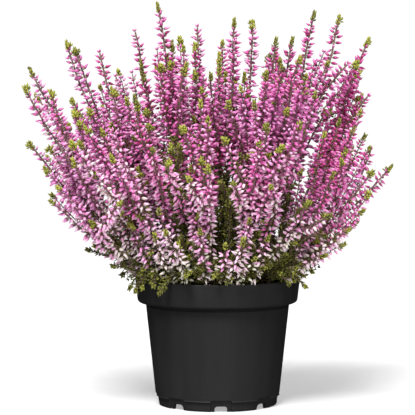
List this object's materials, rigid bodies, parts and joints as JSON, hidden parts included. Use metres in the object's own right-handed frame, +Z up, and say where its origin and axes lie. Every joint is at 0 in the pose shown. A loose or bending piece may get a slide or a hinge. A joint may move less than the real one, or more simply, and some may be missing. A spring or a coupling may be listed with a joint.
{
  "type": "potted heather",
  "caption": "Bushy flowering heather with upright spikes of pointed pink buds and low leafy shoots, standing in the peat of a round plastic nursery pot with drain notches.",
  "frame": {"origin": "middle of the pot's base, on the surface that it stands on", "axes": "+Z up along the pot's axis, -Y the front, +X to the right"},
  "size_m": [0.269, 0.2313, 0.291],
  "materials": {
    "pot": "moulded near-black plastic, satin",
    "soil": null,
    "blossom": null,
    "foliage": null
  },
  "bodies": {
    "root": {"pot": "pot", "soil": "soil", "flower_spray_01": "blossom", "flower_spray_02": "blossom", "flower_spray_03": "blossom", "flower_spray_04": "blossom", "flower_spray_05": "blossom", "flower_spray_06": "blossom", "flower_spray_07": "blossom", "flower_spray_08": "blossom", "flower_spray_09": "blossom", "flower_spray_10": "blossom", "flower_spray_11": "blossom", "flower_spray_12": "blossom", "flower_spray_13": "blossom", "flower_spray_14": "blossom", "flower_spray_15": "blossom", "flower_spray_16": "blossom", "flower_spray_17": "blossom", "flower_spray_18": "blossom", "flower_spray_19": "blossom", "flower_spray_20": "blossom", "flower_spray_21": "blossom", "flower_spray_22": "blossom", "flower_spray_23": "blossom", "flower_spray_24": "blossom", "flower_spray_25": "blossom", "flower_spray_26": "blossom", "flower_spray_27": "blossom", "flower_spray_28": "blossom", "flower_spray_29": "blossom", "flower_spray_30": "blossom", "flower_spray_31": "blossom", "flower_spray_32": "blossom", "flower_spray_33": "blossom", "flower_spray_34": "blossom", "flower_spray_35": "blossom", "flower_spray_36": "blossom", "flower_spray_37": "blossom", "flower_spray_38": "blossom", "flower_spray_39": "blossom", "flower_spray_40": "blossom", "flower_spray_41": "blossom", "flower_spray_42": "blossom", "flower_spray_43": "blossom", "flower_spray_44": "blossom", "flower_spray_45": "blossom", "flower_spray_46": "blossom", "leafy_tuft_01": "foliage", "leafy_tuft_02": "foliage", "leafy_tuft_03": "foliage", "leafy_tuft_04": "foliage", "leafy_tuft_05": "foliage", "leafy_tuft_06": "foliage", "leafy_tuft_07": "foliage", "leafy_tuft_08": "foliage", "leafy_tuft_09": "foliage", "leafy_tuft_10": "foliage"}
  },
  "joints": []
}
